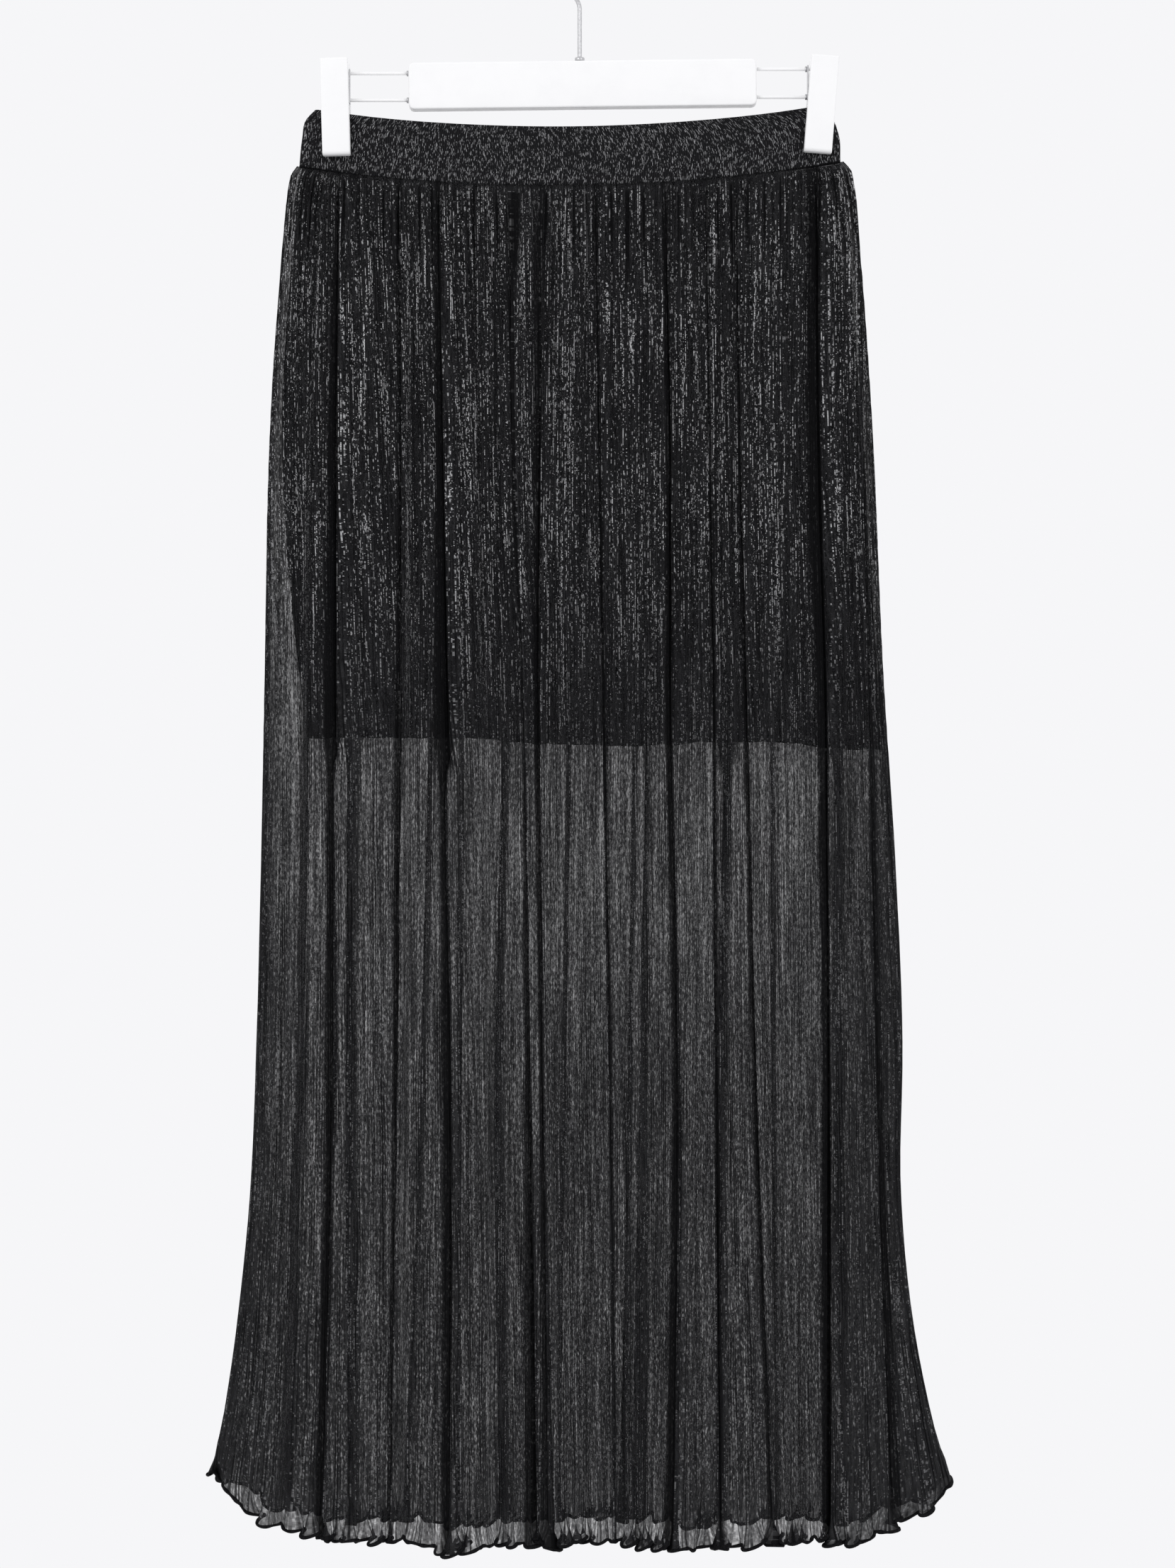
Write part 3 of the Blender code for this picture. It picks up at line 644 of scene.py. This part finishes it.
def slab(name, outline, half_width, edge, place):
    """Rings of the outline from one face to the other. Near a face a ring moves inwards by
    edge (1 - cos a) while it moves out by edge sin a. place turns (u, w, width) into x, y, z."""
    along = np.roll(outline, -1, 0) - np.roll(outline, 1, 0)
    inwards = np.stack([-along[:, 1], along[:, 0]], axis=1)
    inwards /= norm(inwards, axis=1, keepdims=True)
    u, w = outline.T
    inwards *= np.sign(np.sum(u * np.roll(w, -1) - np.roll(u, -1) * w))  # which way it turns
    angle = np.linspace(math.pi / 2, 0, 5)
    inset, reach = edge * (1 - np.cos(angle)), half_width - edge + edge * np.sin(angle)
    shrink = np.concatenate([inset, inset[::-1]])
    level = np.concatenate([-reach, reach[::-1]])
    rings = outline[None] + inwards[None] * shrink[:, None, None]
    points = place(rings[..., 0], rings[..., 1], level[:, None] + 0 * rings[..., 0])
    made = grid_piece(name, points, closed_across=True, filled=True)
    made.data.set_sharp_from_angle(angle=math.radians(40))
    return made


def leaning(centre_x, centre_z, lean, x, y, z):
    """The point, turned by the lean about Y and moved to the centre."""
    right = centre_x + x * math.cos(lean) + z * math.sin(lean)
    return np.dstack([right, y, centre_z - x * math.sin(lean) + z * math.cos(lean)])


long_, deep_, tall_ = BAR_SIZE
bar_outline = cut_corners(rectangle(long_, tall_), BAR_CORNER, 7)
bar = slab(
    "hanger_bar_lacquered", bar_outline, deep_ / 2, BAR_EDGE,
    lambda u, w, t: leaning(BAR_CENTRE_X, BAR_TOP - tall_ / 2, -BAR_TILT, u, t, w),
)
jaws, jaw_outline = {}, cut_corners(JAW_OUTLINE, JAW_CORNER)
for side, centre_x, centre_z, lean, *_ in CLIPS:
    for facing, out in (("front", -1), ("back", 1)):
        jaws[facing, side] = slab(
            f"jaw_{facing}_{side}_lacquered", jaw_outline, JAW_WIDTH / 2, JAW_EDGE,
            lambda u, w, t: leaning(centre_x, centre_z, lean, t, out * u, w),
        )
        if out < 0:
            jaws[facing, side].data.flip_normals()

# %% Wires: rods, hook, collar and springs
WIRE, WIRE_BEND = 2.3, 3.2
SPRING_TURNS, SPRING_PITCH, SPRING_RADIUS, SPRING_WIRE = 11, 0.92, 2.2, 0.84
HOOK_WIRE, HOOK_RADIUS, HOOK_NECK, HOOK_OVERRUN = 2.8, 22, 12, math.radians(24)


def arc(centre, radius, start, end, count):
    """Points of an arc in the XZ plane; angles run from +X towards +Z."""
    angle = np.linspace(start, end, count)
    x, z = centre[0] + radius * np.cos(angle), centre[1] + radius * np.sin(angle)
    return np.stack([x, 0 * angle, z], axis=1)


def line(a, b, count):
    """Evenly spaced points from a to b, without b."""
    return np.linspace(a, b, count, endpoint=False)


def lathed(profile, sides):
    """Rings round the Z axis: one for each (radius, height) of the profile."""
    turn = np.linspace(0, math.tau, sides + 1)[:-1]
    radius, height = np.array(profile).T[..., None]
    return np.dstack([radius * np.cos(turn), radius * np.sin(turn), height + 0 * turn])


middle_z = HOOK_WIRE / 2 - HOOK_RADIUS
hook_lean = math.acos(HOOK_NECK / (HOOK_NECK + HOOK_RADIUS))
neck_z = middle_z - (HOOK_NECK + HOOK_RADIUS) * math.sin(hook_lean)
hook_path = np.concatenate([
    line((0, 0, BAR_TOP + 0.4), (0, 0, neck_z), 12),
    arc((-HOOK_NECK, neck_z), HOOK_NECK, 0, hook_lean, 14)[:-1],
    arc((0, middle_z), HOOK_RADIUS, math.pi + hook_lean, -HOOK_OVERRUN, 60),
])
hook = carried("hook_wire", hook_path, HOOK_WIRE / 2, 16, tips=True)
collar_profile = np.array([
    (1.75, 2.6), (2.3, 2.6), (2.95, 2.4), (3.2, 1.9), (3.2, 0.55), (3.05, 0.2),
    (2.6, 0), (1.75, 0),
])
collar_points = lathed(collar_profile + [0, BAR_TOP + 0.3], 32)
collar = grid_piece("hook_collar_steel", collar_points, closed_across=True, closed_down=True)
rods, springs, ferrules, plates = {}, {}, {}, {}
for side, _, _, _, top, bottom, end in CLIPS:
    s = 1 if end > 0 else -1
    start = BAR_CENTRE_X + s * (long_ / 2 + 0.3)
    # the bends on the right, or in mirror on the left
    flip, bend = [s, 1, 1], [end - s * WIRE_BEND, 0, 0]
    upper = arc((0, top - WIRE_BEND), WIRE_BEND, math.pi / 2, 0, 8) * flip + bend
    lower = arc((0, bottom + WIRE_BEND), WIRE_BEND, 0, -math.pi / 2, 8) * flip + bend
    outwards, inwards = line((start, 0, top), upper[0], 14), line((start, 0, bottom), lower[-1], 14)
    path = np.concatenate([outwards, upper, lower, inwards[::-1]])
    rods[side] = carried(f"rod_{side}_lacquered", path, WIRE / 2, 12)
    # steel ferrules where the rods enter the bar on the left, and the clip on the right
    tip = start - 0.4 if s < 0 else end - 17.2
    for level, height in (("upper", top), ("lower", bottom)):
        short = [(tip + k, 0, height) for k in (-0.6, 0, 0.6)]
        ferrules[side, level] = carried(f"ferrule_{side}_{level}", short, 1.9, 16)
    plates[side] = slab(
        f"clip_plate_{side}", cut_corners(rectangle(6, 23), 1.2), 0.45, 0.15,
        lambda u, w, t: np.dstack([end - s * 16 + t, u, (top + bottom) / 2 + w]),
    )
    # the spring: a helix round the lower rod
    t = np.linspace(0, 1, 241)
    turn = 2 * SPRING_TURNS * math.pi * t
    x = end - s * (WIRE_BEND + 5.8) + SPRING_TURNS * (t - 0.5) * SPRING_PITCH
    coil = [x, SPRING_RADIUS * np.cos(turn), bottom + SPRING_RADIUS * np.sin(turn)]
    springs[side] = carried(f"spring_{side}_steel", np.transpose(coil), SPRING_WIRE / 2, 6)

# %% [markdown]
# ## Node maths as Python
# A small class wraps the output of a node, so that `1 - mask * 0.5` adds its Math nodes by itself,
# and a finish is written as a formula. Any other node comes from one method.

# %% Sockets as numbers


class Value:
    """One output socket. +, -, * and / on it add Math nodes, also with a plain number first."""

    def __init__(self, finish, socket):
        self.finish, self.socket = finish, socket

    def maths(self, operation, *others):
        numbers = dict(enumerate([self, *others]))
        return self.finish.node("Math", {"operation": operation}, numbers)

    def __add__(self, other):
        return self.maths("ADD", other)

    def __sub__(self, other):
        return self.maths("SUBTRACT", other)

    def __mul__(self, other):
        return self.maths("MULTIPLY", other)

    def __truediv__(self, other):
        return self.maths("DIVIDE", other)

    def __rsub__(self, other):
        return self.finish.node("Math", {"operation": "SUBTRACT"}, {0: other, 1: self})

    __radd__, __rmul__ = __add__, __mul__

    def step(self, low, high, from_=0, to=1):
        """A smooth S from from_ at low to to at high."""
        ends = {"Value": self, "From Min": low, "From Max": high, "To Min": from_, "To Max": to}
        return self.finish.node("MapRange", {"interpolation_type": "SMOOTHSTEP"}, ends)

    def clamp(self, low=0, high=1):
        return self.maths("MAXIMUM", low).maths("MINIMUM", high)


class Finish:
    """A material in the making, with its Principled shader."""

    def __init__(self, name):
        self.material = bpy.data.materials.new(name)
        self.material.use_nodes = True
        self.tree = self.material.node_tree
        self.shader = self.tree.nodes["Principled BSDF"]

    @staticmethod
    def find(sockets, key):
        """The socket with this number, or the enabled one with this name."""
        if isinstance(key, int):
            return sockets[key]
        return next(socket for socket in sockets if socket.enabled and socket.name == key)

    def put(self, sockets, key, value):
        """Links the socket to a value, or sets it to a number or an opaque colour."""
        found = self.find(sockets, key)
        if isinstance(value, Value):
            self.tree.links.new(value.socket, found)
        else:
            found.default_value = (*value, 1) if isinstance(value, tuple) else value

    def node(self, kind, settings=None, sockets=None, output=0):
        """Adds a node: its settings first, then its sockets' values or links."""
        made = self.tree.nodes.new("ShaderNode" + kind)
        for key, value in (settings or {}).items():
            setattr(made, key, value)
        for key, value in (sockets or {}).items():
            self.put(made.inputs, key, value)
        outputs = [socket for socket in made.outputs if socket.enabled]
        return Value(self, self.find(outputs, output))

    def mix(self, factor, a, b):
        """Colour a where the factor is 0, and b where it is 1."""
        return self.node("Mix", {"data_type": "RGBA"}, {"Factor": factor, "A": a, "B": b})

    def noise(self, vector, detail, scale=1):
        numbers = {"Vector": vector, "Scale": scale, "Detail": detail, "Roughness": 0.5}
        return self.node("TexNoise", {"noise_dimensions": "3D"}, numbers, "Fac")

    def vector(self, x, y, z):
        return self.node("CombineXYZ", None, {"X": x, "Y": y, "Z": z})

    def uv(self):
        """The cloth's own coordinates: pleats or millimetres across, millimetres down."""
        coordinate = self.node("UVMap", {"uv_map": "cloth"})
        split = self.node("SeparateXYZ", None, {"Vector": coordinate}).socket.node
        return Value(self, split.outputs["X"]), Value(self, split.outputs["Y"])

    def place(self):
        """The point's own coordinates on its object, in metres."""
        return self.node("TexCoord", output="Object")

    def bump(self, height, distance_mm, strength):
        numbers = {"Strength": strength, "Distance": distance_mm * MM, "Height": height}
        return self.node("Bump", None, numbers)

    def set(self, **values):
        """Sets the shader's sockets; an underscore stands for the space in a socket's name."""
        for key, value in values.items():
            self.put(self.shader.inputs, key.replace("_", " "), value)
        return self.material


def dress(finish, *pieces):
    for piece in pieces:
        piece.data.materials.append(finish)


# %% [markdown]
# ## The sheer pleated knit
# Light passes through a thin knit as exp(-density), and two layers multiply: the skirt is nearly
# black where both panels overlap, and grey in the last strip above the hem, where there is one.
# The finish works out the density: a base that grows down the skirt, long streaks narrower than a
# pleat, dark lines in some of the pleats' valleys, and more where the cloth turns away or is
# tucked under a fold. Alpha is 1 - exp(-density). In those valleys and folds the colour is also
# painted darker, as shade. The glitter is a mask of short bright dashes and points: the knit's
# metallic thread, with painted glints, left out where shade is painted, and slightly denser in
# bands of painted highlight that run down the cloth.

# %% Finish of the pleated knit


def pleated_knit(name, seed, thin):
    """thin is the share of light that one layer lets through between its pleats."""
    f = Finish(name)
    pleat, down = f.uv()
    slope, tuck_and_shade, painted_highlight = (
        f.node("Attribute", {"attribute_name": key}, output="Fac")
        for key in ("slope", "tuck_and_shade", "painted_highlight")
    )
    across = pleat + (f.noise(f.vector(pleat * 0.3, down * 0.015, seed + 3), 1) - 0.5) * 1.6

    def threads(count, length, number, detail=1.5):
        """Noise that is the same across each of the count threads of a pleat, and changes over
        the length in millimetres down the thread."""
        thread = (across * count).maths("FLOOR")
        along = down / length + thread * 0.618
        return f.noise(f.vector(thread * 3.7, along, seed + number), detail)

    # 1 at both edges of a pleat, where some pleats have a valley that is denser and has painted
    # shade
    off_centre = (across.maths("FRACT") - 0.5).maths("ABSOLUTE") * 2
    creased = threads(1, 30, 7).step(0.45, 0.65, 0, 0.45)
    creased = creased + threads(1, 200, 8).step(0.51, 0.57, 0, 0.9)
    valley = off_centre.step(0.4, 0.8) * creased.clamp()
    # uneven patches of some 5 mm and some 40 mm, and the rows of stitches
    group = f.noise(f.vector(pleat * 0.25, down * 0.016, seed + 11), 2)
    broad = f.noise(f.vector(pleat * 0.03, down * 0.006, seed + 19), 2)
    courses = (down * (math.tau / 0.62)).maths("SINE")
    # glitter: dashes and points of metallic thread, their bright colour a painted glint, left out
    # where shade is painted in valleys and folds, fewer below the lining
    lit = (1 - valley * 0.95) * (1 - tuck_and_shade * 0.95).clamp()
    lit = lit * down.step(200, 385, 1, 0.3) * down.step(0.5, 5)
    drift = (group - 0.5) * 0.12 + (threads(2.8, 60, 43) - 0.5) * 0.75 + painted_highlight * 0.03
    dash = (threads(2.8, 3.2, 29) + drift).step(0.61, 0.72) * (courses * 0.35 + 0.65)
    point = (threads(2.8, 1, 31, 1) + drift).step(0.7, 0.78)
    lurex_glint = (dash + point).clamp() * lit
    # short streaks, stronger towards the hem and softer on the single layer just above it
    short = (threads(2.8, 3, 1, 1) - 0.5) * down.step(330, 860, 6.6, 9)
    density = (
        -math.log(thin)
        + down.step(330, 860, 0, 0.5)
        + down.step(450, 700, 0.03, 0.13)
        + down.step(815, 850, 0, -0.07)
        + valley * 1.7
        + (threads(2.1, 70, 0, 1) - 0.5) * down.step(400, 800, 4.6, 5.4)
        + short * down.step(822, 846, 1, 0.45)
        + (threads(0.7, 120, 5) - 0.5) * 1.6
        + (group - 0.5)
        + (broad - 0.5) * 1.2
        + courses * 0.3
        + slope * 1.3
        + tuck_and_shade * 2.5
        + lurex_glint * 1.5
    )
    alpha = 1 - (density.clamp(0.64, 6) * -1).maths("EXPONENT")
    tone = threads(2.1, 16, 41, 2).step(0.36, 0.66) * (courses * 0.25 + 0.75)
    plain = f.mix(tone, (0.0115, 0.0115, 0.0125), (0.029, 0.029, 0.0305))
    # painted shade: in pleat valleys, fold valleys and gathers the colour goes near black
    plain = f.mix((valley + tuck_and_shade).clamp(), plain, (0.003, 0.003, 0.0035))
    # light that falls on the cloth is not followed through it
    f.material.use_transparent_shadow = False
    return f.set(
        Base_Color=f.mix(lurex_glint, plain, (0.55, 0.55, 0.56)),
        Alpha=alpha.clamp(0, 0.995),
        Roughness=0.66 - lurex_glint * 0.2,
        Metallic=lurex_glint * 0.4,
        Normal=f.bump(valley * -0.5 + courses * 0.05, 0.5, 0.6),
        Specular_IOR_Level=0.05,
    )


for facing, seed in (("front", 2), ("back", 53)):
    dress(pleated_knit(f"sheer pleated knit {facing}", seed, 0.24), cloth[facing][1])

# %% [markdown]
# ## Band, lining and hem thread
# The band is the same knit over elastic, so nothing shows through it, and its glitter is finer.
# The lining is matt. The overlocked roll shows slanted turns of thread.

# %% Finishes of the other cloth


def band_knit():
    f = Finish("band knit")
    rib, down = f.uv()
    patch = f.noise(f.vector(rib * 0.4, down * 0.25, 9), 2)
    thread = (rib * 6).maths("FLOOR")
    courses = (down * (math.tau / 0.7)).maths("SINE")
    dash = f.noise(f.vector(thread * 3.7, down / 3.4 + thread * 0.618, 3), 1.5)
    # painted shadow: at the band's foot the colour goes near black along the seam and the glitter
    # stops, partly the dark stitch line and partly shade
    seam_line_and_shadow = down.maths("ABSOLUTE").step(0.4, 1.8)
    # the band's glitter: metallic thread dashes whose bright colour is a painted glint
    lurex_glint = (dash + (patch - 0.5) * 0.2).step(0.57, 0.68) * (courses * 0.3 + 0.7) * seam_line_and_shadow
    # painted shade: the colour is darker in the grooves between the ribs
    rib_groove_and_shade = (rib * math.tau).maths("COSINE") * -0.5 + 0.5
    plain = f.mix(rib_groove_and_shade, (0.013, 0.013, 0.014), (0.005, 0.005, 0.006))
    plain = f.mix(seam_line_and_shadow, (0.003, 0.003, 0.0035), plain)
    return f.set(
        Base_Color=f.mix(lurex_glint, plain, (0.45, 0.45, 0.46)),
        Roughness=0.66 - lurex_glint * 0.2,
        Normal=f.bump(courses * 0.2 - rib_groove_and_shade * 0.6, 0.35, 0.6),
        Specular_IOR_Level=0.06,
    )


def lining_jersey():
    f = Finish("lining jersey")
    across, down = f.uv()
    wale = (across * (math.tau / 0.55)).maths("SINE") * (down * (math.tau / 0.45)).maths("SINE")
    cloud = f.noise(f.vector(across * 0.05, down * 0.05, 1), 3)
    hem = (down - 361).maths("ABSOLUTE").step(0.2, 0.7, 1, 0)
    return f.set(
        Base_Color=f.mix(cloud.step(0.3, 0.7), (0.0045, 0.0045, 0.0052), (0.0068, 0.0068, 0.0076)),
        Roughness=0.85,
        Normal=f.bump(wale * 0.3 - hem, 0.3, 0.5),
        Specular_IOR_Level=0.05,
    )


def overlock_thread():
    f = Finish("overlock thread")
    round_, along = f.uv()
    turns = ((along / 0.8 + round_) * math.tau).maths("SINE")
    uneven = f.noise(f.vector(round_ * 3, along * 0.8, 4), 2)
    return f.set(
        Base_Color=f.mix(uneven.step(0.35, 0.7), (0.0025, 0.0025, 0.003), (0.0085, 0.0085, 0.0095)),
        Roughness=0.7,
        Normal=f.bump(turns * 0.5 + uneven, 0.25, 0.7),
        Specular_IOR_Level=0.08,
    )


dress(band_knit(), band)
dress(lining_jersey(), *linings.values())
dress(overlock_thread(), *rolls.values())

# %% [markdown]
# ## Lacquer and steel
# The lacquer is smooth, with a faint unevenness in its gloss. The wire is bright steel.

# %% Finishes of the hanger


def white_lacquer():
    f = Finish("white lacquer")
    skin, dull = f.noise(f.place(), 2, 900), f.noise(f.place(), 3, 60)
    return f.set(
        Base_Color=f.mix(dull.step(0.35, 0.75), (0.945, 0.945, 0.945), (0.925, 0.925, 0.927)),
        Roughness=0.34 + dull * 0.12,
        Normal=f.bump(skin, 0.03, 0.25),
    )


def bright_steel():
    f = Finish("bright steel")
    scratches = f.noise(f.place(), 3, 700)
    return f.set(
        Base_Color=f.mix(scratches.step(0.3, 0.8), (0.5, 0.5, 0.51), (0.66, 0.66, 0.67)),
        Metallic=1,
        Roughness=0.24 + scratches * 0.16,
        Normal=f.bump(scratches, 0.02, 0.2),
    )


dress(white_lacquer(), bar, *jaws.values(), *rods.values())
dress(bright_steel(), hook, collar, *springs.values(), *ferrules.values(), *plates.values())

# %% [markdown]
# ## Each piece stands for its solid
# Every piece rides on the frame's one body, and the solid it stands for is hidden. For each skirt
# panel the area of its cloth is printed.

# %% Riding, replacing and the cut of the cloth


def stands_for(piece, node):
    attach(piece, "root")
    if node:
        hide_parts(node)


for facing in ("front", "back"):
    stands_for(cloth[facing][1], f"skirt_{facing}")
    stands_for(rolls[facing], None)
    stands_for(linings[facing], f"lining_{facing}")
for (facing, side), jaw in jaws.items():
    stands_for(jaw, f"jaw_{facing}_{side}")
for side in ("left", "right"):
    stands_for(rods[side], f"rod_{side}")
    stands_for(springs[side], f"spring_{side}")
for piece in (*ferrules.values(), *plates.values()):
    stands_for(piece, None)
stands_for(band, "waistband")
stands_for(bar, "hanger_bar")
stands_for(hook, "hook")
stands_for(collar, "hook_collar")


def true_area(points):
    """Area of a grid in square metres: half the cross product of each cell's diagonals."""
    a, b = points[1:, 1:] - points[:-1, :-1], points[1:, :-1] - points[:-1, 1:]
    return float(norm(np.cross(a, b), axis=-1).sum() / 2) * MM * MM


for facing in ("front", "back"):
    area = true_area(cloth[facing][0])
    print(f"skirt_{facing}: {area:.3f} square metres of cloth")

# %% [markdown]
# ## Studio
# The photograph has a plain pale background and soft light, a little more of it from the front:
# the sky gives the even light and the background, and two large soft lamps the rest.

# %% Sky, floor and lamps
scene = bpy.context.scene
scene.view_settings.view_transform = "Standard"
scene.cycles.transparent_max_bounces = 32
scene.world = bpy.data.worlds.new("studio")
scene.world.use_nodes = True
sky = scene.world.node_tree.nodes["Background"].inputs
sky["Color"].default_value, sky["Strength"].default_value = (0.922, 0.922, 0.939, 1), 1


def softbox(name, place, size, power):
    """A large square lamp that points at the middle of the skirt."""
    light = bpy.data.lights.new(name, "AREA")
    light.size, light.energy = size, power
    made = bpy.data.objects.new(name, light)
    made.location = place
    x, y, z = np.array([0, 0, -0.5]) - np.array(place)
    made.rotation_euler = (math.atan2(math.hypot(x, y), -z), 0, math.atan2(y, x) - math.pi / 2)
    scene.collection.objects.link(made)


softbox("lamp left", (-1.8, -2.6, 0.9), 1.4, 15)
softbox("lamp right", (2.1, -2.3, 0.5), 1.2, 7)

floor_points = lathed([(2400, -1620), (2400, -1600), (1600, -1600), (800, -1600)], 64)
floor = grid_piece("floor", floor_points[:, ::-1], closed_across=True, filled=True)
f = Finish("pale floor")
grain = f.mix(f.noise(f.place(), 3, 3), (0.6, 0.6, 0.61), (0.64, 0.64, 0.65))
dress(f.set(Base_Color=grain, Roughness=0.8), floor)

# %% Camera
SENSOR, FOCAL_PIXELS, PHOTO_HEIGHT_PIXELS = 24, 5832, 2212
lens = bpy.data.cameras.new("camera")
lens.sensor_fit, lens.sensor_height = "VERTICAL", SENSOR
lens.lens = FOCAL_PIXELS / PHOTO_HEIGHT_PIXELS * SENSOR
camera = bpy.data.objects.new("camera", lens)
camera.location = (0.0051, -2.7, -0.558)
camera.rotation_euler = (math.pi / 2, 0, 0)
scene.collection.objects.link(camera)
scene.camera = camera
